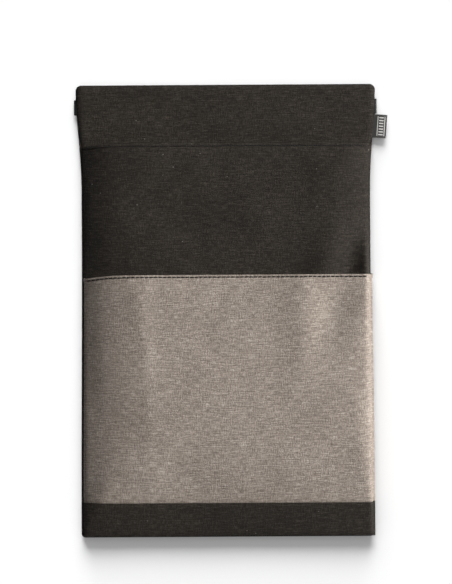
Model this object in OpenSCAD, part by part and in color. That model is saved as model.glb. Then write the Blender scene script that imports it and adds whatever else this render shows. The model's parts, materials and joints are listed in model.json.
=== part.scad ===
// Padded fabric sleeve for a tablet, lying on its back with the flap open.
// X runs to the right, Y from the bottom seam towards the flap's free edge, Z up.
// The origin is the middle of the face that the sleeve rests on.

/* [Outline] */
// Overall length with the flap open
case_l = 353; // [320:1:380]
// Width across the bottom seam
bottom_w = 228.4; // [220:0.2:240]
// Width at the waist
waist_w = 225.4; // [210:0.2:228]
// Width across the flap's free edge
top_w = 233.8; // [228:0.2:240]
// Length of the flap beyond the mouth
flap_l = 46.5; // [40:0.5:60]
// Corner radius at the bottom seam
bottom_r = 2.2; // [1:0.1:4]
// Corner radius of the flap's free edge
flap_r = 4; // [2:0.5:10]

/* [Padding] */
// Clear height of the tablet compartment
cavity_h = 8.2; // [6:0.1:10]
// Width of the slope down to each side seam
shoulder_w = 28; // [24:1:40]
// Length of the slope down to the bottom seam
toe_l = 70; // [45:1:90]
// Thickness of the outer fabric
outer_t = 0.8; // [0.5:0.1:1]
// Thickness of the foam
foam_t = 2.4; // [2:0.1:3]
// Thickness of the lining
lining_t = 0.4; // [0.3:0.1:0.5]
// Free play between two loose layers
ply_gap = 0.15; // [0.1:0.05:0.2]
// Width of the strip where front and back are sewn together
seam_line_w = 2; // [1:0.5:3]
// Width of the bound seam allowance inside an edge
seam_w = 5; // [4:0.5:7]
// Depth of the facing turned in at the mouth
facing_l = 25; // [15:1:40]

/* [Front pocket] */
// Height of the pocket's opening edge above the bottom seam
pocket_l = 204.5; // [160:0.5:230]
// Height of the band along the bottom
band_l = 28; // [20:0.5:40]
// Clear depth of the pocket
pocket_h = 4.8; // [4.4:0.1:6]
// Width of the pocket's own slope down to each side seam
pocket_shoulder_w = 45; // [30:1:60]
// Length of the pocket's own slope down to the bottom seam
pocket_toe_l = 100; // [80:1:140]
// Depth of the hem turned under the opening edge
hem_l = 16; // [10:1:25]

/* [Topstitching] */
// Distance from one stitch to the next
stitch_pitch = 3.5; // [3:0.1:5]
// Visible length of a stitch
stitch_l = 2.7; // [2:0.1:2.8]
// Thickness of the thread
thread_t = 0.5; // [0.3:0.1:0.7]
// Distance from the mouth's edge to its stitches
mouth_stitch_in = 2.1; // [1.5:0.1:4]
// Distance from the pocket's edge to its stitches
pocket_stitch_in = 1.8; // [1.5:0.1:4]

/* [Elastic band] */
// Width of the elastic
elastic_w = 11.6; // [10:0.1:12]
// Thickness of the elastic
elastic_t = 1.1; // [0.8:0.1:1.1]
// Distance from the flap's free edge to the middle of the elastic
elastic_in = 17.2; // [15:0.1:17.4]
// Length of the span that pulls away from the flap
elastic_span = 209.4; // [200:0.2:209.4]
// How far the elastic stands out past each side of the flap
elastic_out = 1.9; // [1.8:0.1:3]

/* [Side label] */
// Length of the label along the flap's edge
label_l = 18.2; // [14:0.1:18.4]
// How far the label stands out from the flap
label_out = 10.5; // [8:0.5:14]
// Thickness of the folded ribbon
label_t = 0.8; // [0.6:0.1:0.8]
// Distance from the flap's free edge to the middle of the label
label_in = 32.6; // [32.4:0.1:34]

/* [Hidden] */
bottom_y = -case_l / 2;
top_y = case_l / 2;
mouth_y = top_y - flap_l;
pocket_y = bottom_y + pocket_l;
band_y = bottom_y + band_l;

// The back ends just past the mouth, and the flap starts a running gap further on.
fold_y = mouth_y + 1;
flap_gap = 0.3;
flap_y = fold_y + flap_gap;

// The sides are straight between these two places, and spread out below and above them.
waist_low_y = 70;
waist_high_y = 95;

binding_t = foam_t + 2 * ply_gap;
back_top = outer_t + binding_t + lining_t;
foam_in = seam_w + 0.3;

// The flap rises off the resting surface to clear the elastic, within this length.
flap_rise = 1.4;
flap_rise_l = 14;
flap_floor_gap = 0.05;

label_y = top_y - label_in;
label_z = 2.6;
label_gap = 0.7;
label_tail = 5;
label_tilt = 4.3;

elastic_y = top_y - elastic_in;
elastic_tail = 4.5;
elastic_tail_z = 3.9;

// Size of a solid that reaches past every part
beyond = 400;
side_steps = 20;
stitch_lift = 0.06;
stitch_end_in = 6;
eps = 0.01;

charcoal = "#35312d";
taupe = "#968a7f";
lining_grey = "#4a4a4e";
foam_grey = "#b9b9b6";
black = "#191817";

// ---- Outline -------------------------------------------------------------------------------------------

// Smooth step from 0 to 1
function ramp(u) = let (c = min(max(u, 0), 1)) c * c * (3 - 2 * c);

// Rise from 0 to 1, steep at first and level at the end, as cloth rises over padding
function bulge(u) = let (c = min(max(u, 0), 1)) 1 - (1 - c) * (1 - c);

// Half the sleeve's width at y
function half_w(y) =
    waist_w / 2
    + (bottom_w - waist_w) / 2 * ramp((waist_low_y - y) / (waist_low_y - bottom_y))
    + (top_w - waist_w) / 2 * ramp((y - waist_high_y) / (top_y - waist_high_y));

// Quarter circle of radius r about [x, y], from angle start, or the point itself when r is 0
function corner(x, y, r, start) =
    r > 0 ? [for (a = [0 : 15 : 90]) [x + r * cos(start + a), y + r * sin(start + a)]] : [[x, y]];

// Points up one side, from y0 to y1, without its two ends
function side(y0, y1, inset) =
    [for (i = [1 : side_steps - 1]) let (y = y0 + (y1 - y0) * i / side_steps) [half_w(y) - inset, y]];

function mirrored(points) = [for (i = [len(points) - 1 : -1 : 0]) [-points[i].x, points[i].y]];

// The sleeve seen from above, between y0 and y1, with its sides drawn in by inset
module plan(y0, y1, inset = 0, r0 = 0, r1 = 0) {
    low = corner(half_w(y0) - inset - r0, y0 + r0, r0, -90);
    high = corner(half_w(y1) - inset - r1, y1 - r1, r1, 0);
    right = concat(low, side(y0 + r0, y1 - r1, inset), high);
    polygon(concat(right, mirrored(right)));
}

// ---- Layers of the front -------------------------------------------------------------------------------

// Each function gives a surface's height at distance d inside a side seam, or the bottom seam if toe is true.
function cavity_top(d, toe) =
    back_top + cavity_h * bulge((d - seam_line_w) / (toe ? toe_l : shoulder_w));
function lining_top(d, toe) = cavity_top(d, toe) + lining_t;
function foam_low(d, toe) = lining_top(d, toe) + ply_gap;
function panel_low(d, toe) = lining_top(d, toe) + binding_t * ramp(d / (seam_line_w + seam_w));
function foam_high(d, toe) = panel_low(d, toe) - ply_gap;
function front_face(d, toe) = panel_low(d, toe) + outer_t;
function hem_low(d, toe) =
    front_face(d, toe) + pocket_h * bulge((d - seam_line_w) / (toe ? pocket_toe_l : pocket_shoulder_w));
function pocket_low(d, toe) = hem_low(d, toe) + outer_t * ramp(d / (seam_line_w + seam_w));
function pocket_face(d, toe) = pocket_low(d, toe) + outer_t;

// Distances inside a seam at which a surface is sampled, closer together over the seam itself
function stations(reach) = concat([0, 2, 3.5, 5, 7], [for (i = [1 : 12]) 7 + (reach - 7) * i / 12]);
side_stations = stations(max(shoulder_w, pocket_shoulder_w) + seam_line_w);
toe_stations = stations(max(toe_l, pocket_toe_l) + seam_line_w);

function heights(level, toe) = [for (d = toe ? toe_stations : side_stations) [d, level(d, toe)]];

// Everything below a surface: its slopes to the side seams, cut by its slope to the bottom seam
module below(level) {
    across = [for (p = heights(level, false)) [waist_w / 2 - p.x, p.y]];
    along = [for (p = heights(level, true)) [bottom_y + p.x, p.y]];
    right = concat([[beyond, -beyond], [beyond, across[0].y]], across);
    intersection() {
        rotate([90, 0, 0])
            linear_extrude(2 * beyond, center = true)
                polygon(concat(right, mirrored(right)));
        rotate([90, 0, 90])
            linear_extrude(2 * beyond, center = true)
                polygon(concat(
                    [[-beyond, -beyond], [-beyond, along[0].y]],
                    along,
                    [[beyond, along[len(along) - 1].y], [beyond, -beyond]]));
    }
}

// A layer of the front between two surfaces, over the plan given as a child
module front_layer(low, high) {
    difference() {
        intersection() {
            linear_extrude(beyond)
                children();
            below(high);
        }
        below(low);
    }
}

// A flat layer of the back, over the plan given as a child
module back_layer(z0, z1) {
    translate([0, 0, z0])
        linear_extrude(z1 - z0)
            children();
}

// ---- Layers of the flap --------------------------------------------------------------------------------

function flap_z(y) = flap_rise * ramp((y - flap_y) / flap_rise_l);
flap_stations = concat([for (i = [0 : 7]) flap_y + flap_rise_l * i / 7], [beyond]);

// A layer of the flap between two heights above its outer face, over the plan given as a child
module flap_layer(z0, z1) {
    low = [for (y = flap_stations) [y, flap_z(y) + z0]];
    high = [for (i = [len(flap_stations) - 1 : -1 : 0]) [flap_stations[i], flap_z(flap_stations[i]) + z1]];
    intersection() {
        linear_extrude(beyond, center = true)
            children();
        rotate([90, 0, 90])
            linear_extrude(2 * beyond, center = true)
                polygon(concat(low, high));
    }
}

// ---- Back ----------------------------------------------------------------------------------------------

module back_panel() {
    color(charcoal)
        back_layer(0, outer_t)
            plan(bottom_y, fold_y, r0 = bottom_r);
}

module back_padding() {
    color(foam_grey)
        back_layer(outer_t + ply_gap, outer_t + ply_gap + foam_t)
            plan(bottom_y + foam_in, fold_y, inset = foam_in);
}

module back_lining() {
    color(lining_grey)
        back_layer(back_top - lining_t, back_top)
            plan(bottom_y, fold_y, r0 = bottom_r);
}

// ---- Seam bindings inside the edges of the body --------------------------------------------------------

module side_seam_binding(sign) {
    color(black)
        back_layer(outer_t, outer_t + binding_t)
            difference() {
                intersection() {
                    plan(bottom_y + seam_w, fold_y);
                    translate([sign * beyond / 2, 0])
                        square([beyond, 2 * beyond], center = true);
                }
                plan(bottom_y, fold_y + seam_w, inset = seam_w);
            }
}

module left_seam_binding() {
    side_seam_binding(-1);
}

module right_seam_binding() {
    side_seam_binding(1);
}

module bottom_seam_binding() {
    color(black)
        back_layer(outer_t, outer_t + binding_t)
            plan(bottom_y, bottom_y + seam_w, r0 = bottom_r);
}

// ---- Front ---------------------------------------------------------------------------------------------

module front_lining() {
    color(lining_grey)
        front_layer(function(d, toe) cavity_top(d, toe), function(d, toe) lining_top(d, toe))
            plan(bottom_y, mouth_y - facing_l, r0 = bottom_r);
}

module front_padding() {
    color(foam_grey)
        front_layer(function(d, toe) foam_low(d, toe), function(d, toe) foam_high(d, toe))
            plan(bottom_y + foam_in, mouth_y - outer_t - ply_gap, inset = foam_in);
}

module front_panel() {
    color(charcoal)
        front_layer(function(d, toe) panel_low(d, toe), function(d, toe) front_face(d, toe))
            plan(bottom_y, mouth_y, r0 = bottom_r);
}

// Turned in at the mouth: it closes the edge of the foam and carries on inside as far as the lining.
module mouth_facing() {
    color(charcoal) {
        front_layer(function(d, toe) cavity_top(d, toe), function(d, toe) lining_top(d, toe))
            plan(mouth_y - facing_l, mouth_y);
        front_layer(function(d, toe) lining_top(d, toe), function(d, toe) panel_low(d, toe))
            plan(mouth_y - outer_t, mouth_y, inset = foam_in);
    }
}

// ---- Pocket --------------------------------------------------------------------------------------------

module pocket_panel() {
    color(taupe)
        front_layer(function(d, toe) pocket_low(d, toe), function(d, toe) pocket_face(d, toe))
            plan(band_y, pocket_y);
}

module pocket_hem() {
    color(taupe)
        front_layer(function(d, toe) hem_low(d, toe), function(d, toe) pocket_low(d, toe))
            plan(pocket_y - hem_l, pocket_y, inset = seam_line_w + seam_w);
}

module bottom_band() {
    color(charcoal)
        front_layer(function(d, toe) pocket_low(d, toe), function(d, toe) pocket_face(d, toe))
            plan(bottom_y, band_y, r0 = bottom_r);
}

// ---- Topstitching --------------------------------------------------------------------------------------

// A row of stitches at y, lying on a face that slopes to the side seams
module stitch_row(y, level) {
    face = heights(level, false);
    count = floor(2 * (half_w(y) - stitch_end_in) / stitch_pitch);
    for (i = [0 : count - 1]) {
        x = (i - (count - 1) / 2) * stitch_pitch;
        d = waist_w / 2 - abs(x);
        rise = lookup(d + stitch_l / 2, face) - lookup(d - stitch_l / 2, face);
        slope = atan(rise / stitch_l);
        translate([x, y, lookup(d, face) + stitch_lift + thread_t / 2 / cos(slope)])
            rotate([0, sign(x) * slope, 0])
                cube([stitch_l, thread_t, thread_t], center = true);
    }
}

module mouth_topstitch() {
    color(black)
        stitch_row(mouth_y - mouth_stitch_in, function(d, toe) front_face(d, toe));
}

module pocket_topstitch() {
    color(black)
        stitch_row(pocket_y - pocket_stitch_in, function(d, toe) pocket_face(d, toe));
}

// ---- Flap ----------------------------------------------------------------------------------------------

module flap_panel() {
    color(charcoal)
        flap_layer(0, outer_t)
            plan(flap_y, top_y, r1 = flap_r);
}

module flap_padding() {
    color(foam_grey)
        flap_layer(outer_t + ply_gap, outer_t + ply_gap + foam_t)
            plan(flap_y, top_y - foam_in, inset = foam_in);
}

module flap_facing() {
    color(charcoal)
        flap_layer(outer_t + binding_t, 2 * outer_t + binding_t)
            plan(flap_y, top_y, r1 = flap_r);
}

// The seam allowance round three sides of the flap, notched for the label and the elastic
module flap_seam_binding() {
    color(black)
        difference() {
            flap_layer(outer_t, outer_t + binding_t)
                difference() {
                    plan(flap_y, top_y, r1 = flap_r);
                    plan(flap_y - seam_w, top_y - seam_w, inset = seam_w);
                }
            label_ribbon(-label_tail - eps, beyond, eps);
            elastic_notch(-1);
            elastic_notch(1);
        }
}

// ---- Elastic band --------------------------------------------------------------------------------------

elastic_turn_x = half_w(elastic_y) + elastic_out - elastic_t;

// The space that an end of the elastic takes up inside the seam
module elastic_notch(sign) {
    translate([sign * elastic_turn_x, elastic_y, elastic_tail_z - elastic_t / 2])
        cube([2 * elastic_tail, elastic_w, elastic_t] + 2 * eps * [1, 1, 1], center = true);
}

// An end of the elastic: out from under the flap, round its edge and into the seam
module elastic_end(sign) {
    r = elastic_t;
    x0 = elastic_span / 2 + flap_gap;
    x1 = elastic_turn_x;
    x2 = elastic_turn_x - elastic_tail;
    z0 = flap_floor_gap;
    color(black)
        translate([0, elastic_y, 0])
            mirror([sign > 0 ? 0 : 1, 0, 0])
                rotate([90, 0, 0])
                    linear_extrude(elastic_w, center = true)
                        polygon(concat(
                            [[x0, z0 + r], [x0, z0]],
                            corner(x1, z0 + r, r, -90),
                            corner(x1, elastic_tail_z - r, r, 0),
                            [[x2, elastic_tail_z], [x2, elastic_tail_z - r]],
                            [[x1, elastic_tail_z - r], [x1, z0 + r]]));
}

module elastic_left_end() {
    elastic_end(-1);
}

module elastic_right_end() {
    elastic_end(1);
}

module elastic_band() {
    color(black)
        translate([0, elastic_y, flap_floor_gap + elastic_t / 2])
            cube([elastic_span, elastic_w, elastic_t], center = true);
}

// ---- Side label ----------------------------------------------------------------------------------------

// The folded ribbon from x0 to x1, measured outwards from the flap's edge, grown by extra
module label_ribbon(x0, x1, extra = 0) {
    translate([half_w(label_y), label_y, label_z - extra])
        rotate([0, 0, -label_tilt])
            translate([x0, -label_l / 2 - extra, 0])
                cube([x1 - x0, label_l + 2 * extra, label_t + 2 * extra]);
}

module label_tail_end() {
    color(black)
        label_ribbon(-label_tail, 0);
}

module side_label() {
    color(black)
        label_ribbon(label_gap, label_out);
}

back_panel();
back_padding();
back_lining();
front_panel();
front_padding();
front_lining();
mouth_facing();
left_seam_binding();
right_seam_binding();
bottom_seam_binding();
pocket_panel();
pocket_hem();
bottom_band();
mouth_topstitch();
pocket_topstitch();
flap_panel();
flap_padding();
flap_facing();
flap_seam_binding();
elastic_left_end();
elastic_right_end();
label_tail_end();
elastic_band();
side_label();
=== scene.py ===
"""A padded fabric tablet sleeve, lying on its back with its flap open. Metres; Y runs towards the flap."""
import json
import math

import bpy
import numpy as np
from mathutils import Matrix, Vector


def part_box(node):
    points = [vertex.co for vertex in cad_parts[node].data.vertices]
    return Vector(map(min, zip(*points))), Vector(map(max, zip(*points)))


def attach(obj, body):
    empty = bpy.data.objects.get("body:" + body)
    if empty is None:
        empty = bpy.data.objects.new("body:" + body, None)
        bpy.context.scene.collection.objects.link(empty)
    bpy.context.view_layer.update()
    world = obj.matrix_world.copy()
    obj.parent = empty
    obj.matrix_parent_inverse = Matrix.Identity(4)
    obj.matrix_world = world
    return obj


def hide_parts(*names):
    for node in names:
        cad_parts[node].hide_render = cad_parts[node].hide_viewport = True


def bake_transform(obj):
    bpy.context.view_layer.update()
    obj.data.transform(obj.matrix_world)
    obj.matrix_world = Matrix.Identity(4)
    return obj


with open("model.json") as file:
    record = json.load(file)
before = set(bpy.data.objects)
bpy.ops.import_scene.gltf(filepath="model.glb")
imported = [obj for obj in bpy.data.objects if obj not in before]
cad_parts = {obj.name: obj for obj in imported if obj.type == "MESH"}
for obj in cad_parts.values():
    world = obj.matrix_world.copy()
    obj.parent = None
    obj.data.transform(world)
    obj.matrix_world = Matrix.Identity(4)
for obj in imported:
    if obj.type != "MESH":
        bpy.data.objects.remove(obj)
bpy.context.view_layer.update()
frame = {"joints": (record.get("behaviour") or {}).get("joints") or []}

MM = 0.001

# ---- Sizes, from the frame -----------------------------------------------------------------------------

BOTTOM_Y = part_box("back_panel")[0].y
FOLD_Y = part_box("back_panel")[1].y
MOUTH_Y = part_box("front_panel")[1].y
BAND_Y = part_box("bottom_band")[1].y
POCKET_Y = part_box("pocket_panel")[1].y
TOP_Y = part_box("flap_facing")[1].y
FLAP_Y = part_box("flap_facing")[0].y

OUTER_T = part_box("back_panel")[1].z
LINING_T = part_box("back_lining")[1].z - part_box("back_lining")[0].z
BACK_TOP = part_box("back_lining")[1].z
CAVITY_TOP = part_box("front_lining")[1].z - LINING_T
FRONT_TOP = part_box("front_panel")[1].z
POCKET_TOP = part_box("pocket_panel")[1].z
FLAP_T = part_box("flap_facing")[1].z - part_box("flap_panel")[1].z + OUTER_T
FLAP_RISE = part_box("flap_panel")[1].z - OUTER_T

WAIST_W = 225.4 * MM
BOTTOM_W = 2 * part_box("bottom_band")[1].x
TOP_W = 2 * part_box("flap_facing")[1].x
WAIST_LOW_Y = 70 * MM
WAIST_HIGH_Y = 95 * MM

TOE_L = 70 * MM
POCKET_TOE_L = 100 * MM
SEAM_LINE_W = 2 * MM
FOAM_EDGE_W = 5.5 * MM
FLAP_RISE_L = 14 * MM

# The slopes down to the side seams are alike at the mouth. From UNEVEN_ABOVE the pocket's edge and over
# UNEVEN_L, the left one grows wider and the right one narrower.
SHOULDER_W = 28 * MM
LEFT_SHOULDER_W = 36 * MM
RIGHT_SHOULDER_W = 4 * MM
UNEVEN_ABOVE = 45 * MM
UNEVEN_L = 50 * MM

# The pocket's own slopes; the right one is narrow at the opening and grows towards the band
POCKET_LEFT_W = 41 * MM
POCKET_RIGHT_W = 5 * MM
POCKET_RIGHT_GROWTH = 13 * MM

# Where the seam between back and front lies, measured inwards from each edge
SEAM_IN_LEFT = 2.1 * MM
SEAM_IN_RIGHT = 0.5 * MM
SEAM_IN_BOTTOM = 0.9 * MM

STITCH_PITCH = 3.5 * MM
STITCH_L = 2.7 * MM
THREAD_T = 0.85 * MM
WEAVE_PITCH = 0.6 * MM
MOUTH_STITCH_IN = 2.1 * MM
POCKET_STITCH_IN = 1.8 * MM


# ---- Shape functions -----------------------------------------------------------------------------------

def ramp(u):
    """Smooth step from 0 to 1."""
    c = np.clip(u, 0, 1)
    return c * c * (3 - 2 * c)


def bulge(u):
    """Rise from 0 to 1, steep at first and level at the end, as cloth rises over padding."""
    c = np.clip(u, 0, 1)
    return 1 - (1 - c) ** 2


def dome(u):
    """Rise from 0 to 1 as a quarter of an ellipse, almost upright at first."""
    c = np.clip(u, 0, 1)
    return np.sqrt(1 - (1 - c) ** 2)


def half_w(y):
    """Half the sleeve's width at y."""
    low = (BOTTOM_W - WAIST_W) / 2 * ramp((WAIST_LOW_Y - y) / (WAIST_LOW_Y - BOTTOM_Y))
    high = (TOP_W - WAIST_W) / 2 * ramp((y - WAIST_HIGH_Y) / (TOP_Y - WAIST_HIGH_Y))
    return WAIST_W / 2 + low + high


def smooth_min(a, b, k):
    """The smaller of two values, rounded off where they are within k of each other."""
    h = np.clip(k - np.abs(a - b), 0, None) / k
    return np.minimum(a, b) - h * h * k / 4


def hill(x, y, at, size, turn):
    """A smooth hill of height 1 at a point, size across and along, turned by some degrees."""
    c, s = math.cos(math.radians(turn)), math.sin(math.radians(turn))
    dx, dy = x - at[0] * MM, y - at[1] * MM
    across, along = (c * dx + s * dy) / (size[0] * MM), (c * dy - s * dx) / (size[1] * MM)
    return np.exp(-(across ** 2 + along ** 2) / 2)


def between_cells(table, column, row):
    """A table's value at a place between its cells, joined smoothly."""
    i = np.clip(np.floor(column).astype(int), 0, table.shape[1] - 2)
    j = np.clip(np.floor(row).astype(int), 0, table.shape[0] - 2)
    fx, fy = ramp(column - i), ramp(row - j)
    low = table[j, i] * (1 - fx) + table[j, i + 1] * fx
    high = table[j + 1, i] * (1 - fx) + table[j + 1, i + 1] * fx
    return low * (1 - fy) + high * fy


def noise(x, y, cell, seed):
    """Smooth noise from -1 to 1, with lumps about cell wide."""
    lattice = np.random.default_rng(seed).uniform(-1, 1, (64, 64))
    return between_cells(lattice, x / cell + 32, y / cell + 32)


def stitch_pull(x):
    """How deep a row of stitches presses the cloth: less in the gaps between the stitches."""
    return 0.7 + 0.3 * np.cos(2 * math.pi * x / STITCH_PITCH)


def inside(x, y):
    """Distance in from the nearer side edge, and from the bottom edge."""
    return half_w(y) - np.abs(x), y - BOTTOM_Y


# ---- Cloth simulation ----------------------------------------------------------------------------------

SIM_STEP = 3 * MM
SIM_FRAMES = 24


def simulated_folds(low_y, high_y, height, slack, limit):
    """The folds of a cloth cut a little too large for its seams, as a function of x and y.

    A grid laid over the padding is held along its four edges and run as cloth. What comes back is how far
    each point has risen or sunk, up to limit.
    """
    rows = np.linspace(low_y, high_y, round((high_y - low_y) / SIM_STEP))
    t = np.linspace(-1, 1, round(WAIST_W / SIM_STEP))
    y = np.repeat(rows[:, None], len(t), axis=1)
    x = t * (half_w(y) - SEAM_LINE_W)
    start = np.stack([x, y, height(x, y)], axis=2)
    index = np.arange(x.size).reshape(x.shape)
    obj = mesh_object("cloth_run", start, quads_of(index).tolist(), cloth_uv(start), None)
    held = obj.vertex_groups.new(name="held")
    strips = (index[:2], index[-2:], index[:, :2], index[:, -2:])
    edges = np.concatenate([strip.ravel() for strip in strips])
    held.add(edges.tolist(), 1.0, "ADD")
    cloth = obj.modifiers.new("cloth", "CLOTH")
    run = cloth.settings
    run.quality = 8
    run.mass = 0.02
    run.tension_stiffness = run.compression_stiffness = 60
    run.shear_stiffness = 30
    run.bending_stiffness = 2.5
    run.air_damping = 4
    run.shrink_min = -slack
    run.vertex_group_mass = "held"
    run.effector_weights.gravity = 0
    cloth.collision_settings.use_collision = False
    cloth.point_cache.frame_end = SIM_FRAMES
    scene = bpy.context.scene
    for number in range(1, SIM_FRAMES + 1):
        scene.frame_set(number)
    evaluated = obj.evaluated_get(bpy.context.evaluated_depsgraph_get())
    settled = np.zeros(x.size * 3)
    evaluated.data.vertices.foreach_get("co", settled)
    rise = settled.reshape(start.shape)[..., 2] - start[..., 2]
    rise = limit * np.tanh((rise - rise.mean()) / limit)
    for _ in range(2):
        rise[1:-1] = (rise[:-2] + 2 * rise[1:-1] + rise[2:]) / 4
        rise[:, 1:-1] = (rise[:, :-2] + 2 * rise[:, 1:-1] + rise[:, 2:]) / 4
    scene.frame_set(1)
    bpy.data.objects.remove(obj)

    def folds(x, y):
        column = (x / (half_w(y) - SEAM_LINE_W) + 1) / 2 * (len(t) - 1)
        return between_cells(rise, column, (y - low_y) / (high_y - low_y) * (len(rows) - 1))
    return folds


# ---- Heights of the layers -----------------------------------------------------------------------------

def to_right(x):
    """0 on the left of the middle and 1 on the right, with a soft change between."""
    return ramp(x / (60 * MM) + 0.5)


def cavity_z(x, y):
    """Underside of the front lining.

    Below the mouth its left shoulder grows wider and its right one narrower.
    """
    side, toe = inside(x, y)
    reach = side - SEAM_LINE_W
    upper = bulge(reach / SHOULDER_W)
    left = bulge(reach / LEFT_SHOULDER_W)
    right = dome(reach / RIGHT_SHOULDER_W)
    lower = left * (1 - to_right(x)) + right * to_right(x)
    across = upper + (lower - upper) * ramp((POCKET_Y + UNEVEN_ABOVE - y) / UNEVEN_L)
    return BACK_TOP + (CAVITY_TOP - BACK_TOP) * smooth_min(across, bulge((toe - SEAM_LINE_W) / TOE_L), 0.12)


def padding_rise(x, y):
    """How far the padding lifts the outer cloth off the lining, as a share."""
    side, toe = inside(x, y)
    return smooth_min(bulge(side / FOAM_EDGE_W), bulge(toe / FOAM_EDGE_W), 0.2)


# The folds seen in each cloth: height in mm, then the middle and the size across and along in mm, and
# the turn in degrees
FRONT_HILLS = [
    (4.4, (77, 41), (9.5, 17), -20),
    (-4.6, (96, 38), (6.5, 14), -20),
    (3.0, (111, 36), (5, 13), 0),
    (-0.8, (25, 70), (30, 45), -5),
    (-1.7, (-112, 120), (12, 12), 0),
    (-1.5, (-110, 38), (10, 18), 0),
]
POCKET_HILLS = [
    (1.9, (56, 9), (8.5, 16), -10),
    (-2.7, (84, -1), (9, 21), -20),
    (1.1, (106, -3), (7, 24), -20),
    (1.4, (-66, -34), (9, 42), 2),
    (-0.9, (-8, -35), (38, 60), 0),
    (-1.0, (-110, -18), (7, 42), 0),
]


def hills(x, y, rows):
    """The sum of some hills, in metres."""
    return sum(height * MM * hill(x, y, at, size, turn) for height, at, size, turn in rows)


def front_undulation(x, y):
    """Soft unevenness of the front panel."""
    soft = (0.35 * noise(x, y, 46 * MM, 3) + 0.16 * noise(x, y, 21 * MM, 4)) * MM
    return (soft + hills(x, y, FRONT_HILLS) + FRONT_FOLDS(x, y)) * padding_rise(x, y)


def front_z(x, y):
    """Face of the front panel."""
    pad = FRONT_TOP - CAVITY_TOP - LINING_T - OUTER_T
    base = cavity_z(x, y) + LINING_T + OUTER_T + pad * padding_rise(x, y)
    dent = 0.9 * MM * stitch_pull(x) * np.exp(-((MOUTH_Y - MOUTH_STITCH_IN - y) / (1.1 * MM)) ** 2)
    thin = 0.5 * MM * ramp((y - MOUTH_Y + 9 * MM) / (8 * MM))
    return base + front_undulation(x, y) - (dent + thin) * padding_rise(x, y)


def pocket_undulation(x, y):
    """Soft folds of the loose pocket cloth, strongest towards its opening on the right."""
    soft = (0.30 * noise(x, y, 42 * MM, 11) + 0.16 * noise(x, y, 19 * MM, 12)) * MM
    return soft + hills(x, y, POCKET_HILLS) + POCKET_FOLDS(x, y)


def pocket_z(x, y):
    """Face of the pocket and of the band below it."""
    side, toe = inside(x, y)
    room = POCKET_TOP - FRONT_TOP - 2 * OUTER_T
    left = np.clip((side - SEAM_LINE_W) / POCKET_LEFT_W, 0, 1.4) ** 1.5
    right_w = POCKET_RIGHT_W + POCKET_RIGHT_GROWTH * ramp((10 * MM - y) / (60 * MM))
    right = dome((side - SEAM_LINE_W) / right_w)
    across = left + (right - left) * to_right(x)
    rise = smooth_min(smooth_min(across, 1.0, 0.35), bulge((toe - SEAM_LINE_W) / POCKET_TOE_L), 0.2)
    smooth_front = front_z(x, y) - front_undulation(x, y)
    dent = 0.5 * MM * stitch_pull(x) * np.exp(-((POCKET_Y - POCKET_STITCH_IN - y) / (0.9 * MM)) ** 2)
    dent += 0.5 * MM * np.exp(-((y - BAND_Y) / (1.6 * MM)) ** 2)
    free = padding_rise(x, y)
    return smooth_front + OUTER_T + OUTER_T * free + room * rise + (pocket_undulation(x, y) - dent) * free


def flap_floor(y):
    """Outer face of the flap, which rises to clear the elastic."""
    return FLAP_RISE * ramp((y - FLAP_Y) / FLAP_RISE_L)


def flap_face(x, y):
    """Inner face of the flap, and of the back where it runs down into the mouth."""
    side, end = half_w(y) - np.abs(x), TOP_Y - y
    puff = smooth_min(bulge(side / (5 * MM)), bulge(end / (5 * MM)), 0.2)
    soft = (0.22 * noise(x, y, 30 * MM, 21) + 0.1 * noise(x, y, 13 * MM, 22)) * MM
    body = BACK_TOP + 0.1 * MM
    flap = flap_floor(y) + FLAP_T * 0.55 + (FLAP_T * 0.45 + soft) * puff
    share = ramp((y - (FOLD_Y - 8 * MM)) / (10 * MM))
    return body * (1 - share) + flap * share


# ---- Mesh helpers --------------------------------------------------------------------------------------

def graded(low, high, step, fine, growth=1.35):
    """Positions from low to high, step apart in the middle and closer together towards both ends."""
    steps, size = [], fine
    while size < step:
        steps.append(size)
        size *= growth
    ends = sum(steps)
    middle = high - low - 2 * ends
    count = max(1, round(middle / step))
    steps = steps + [middle / count] * count + steps[::-1]
    return low + np.concatenate([[0], np.cumsum(steps)])


def cloth_uv(points):
    """Each point's place on the flat cloth in metres, measured along the rows and the columns."""
    across = np.linalg.norm(np.diff(points, axis=1), axis=2)
    along = np.linalg.norm(np.diff(points, axis=0), axis=2)
    u = np.concatenate([np.zeros((len(points), 1)), np.cumsum(across, axis=1)], axis=1)
    v = np.concatenate([np.zeros((1, points.shape[1])), np.cumsum(along, axis=0)], axis=0)
    u -= u[:, [points.shape[1] // 2]]
    return np.stack([u, v], axis=2)


def quads_of(index):
    """The quads of a grid of vertex numbers."""
    corners = [index[:-1, :-1], index[:-1, 1:], index[1:, 1:], index[1:, :-1]]
    return np.stack(corners, axis=-1).reshape(-1, 4)


def mesh_object(name, vertices, faces, flat, material):
    """A smooth mesh whose UV map "cloth" holds each vertex's place on the flat cloth, in metres."""
    mesh = bpy.data.meshes.new(name)
    mesh.from_pydata(vertices.reshape(-1, 3).tolist(), [], faces)
    corners = np.zeros(len(mesh.loops), np.int32)
    mesh.loops.foreach_get("vertex_index", corners)
    layer = mesh.uv_layers.new(name="cloth")
    layer.data.foreach_set("uv", flat.reshape(-1, 2)[corners].astype(np.float32).ravel())
    mesh.polygons.foreach_set("use_smooth", np.ones(len(mesh.polygons), bool))
    if material:
        mesh.materials.append(material)
    mesh.update()
    obj = bpy.data.objects.new(name, mesh)
    bpy.context.scene.collection.objects.link(obj)
    return obj


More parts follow.
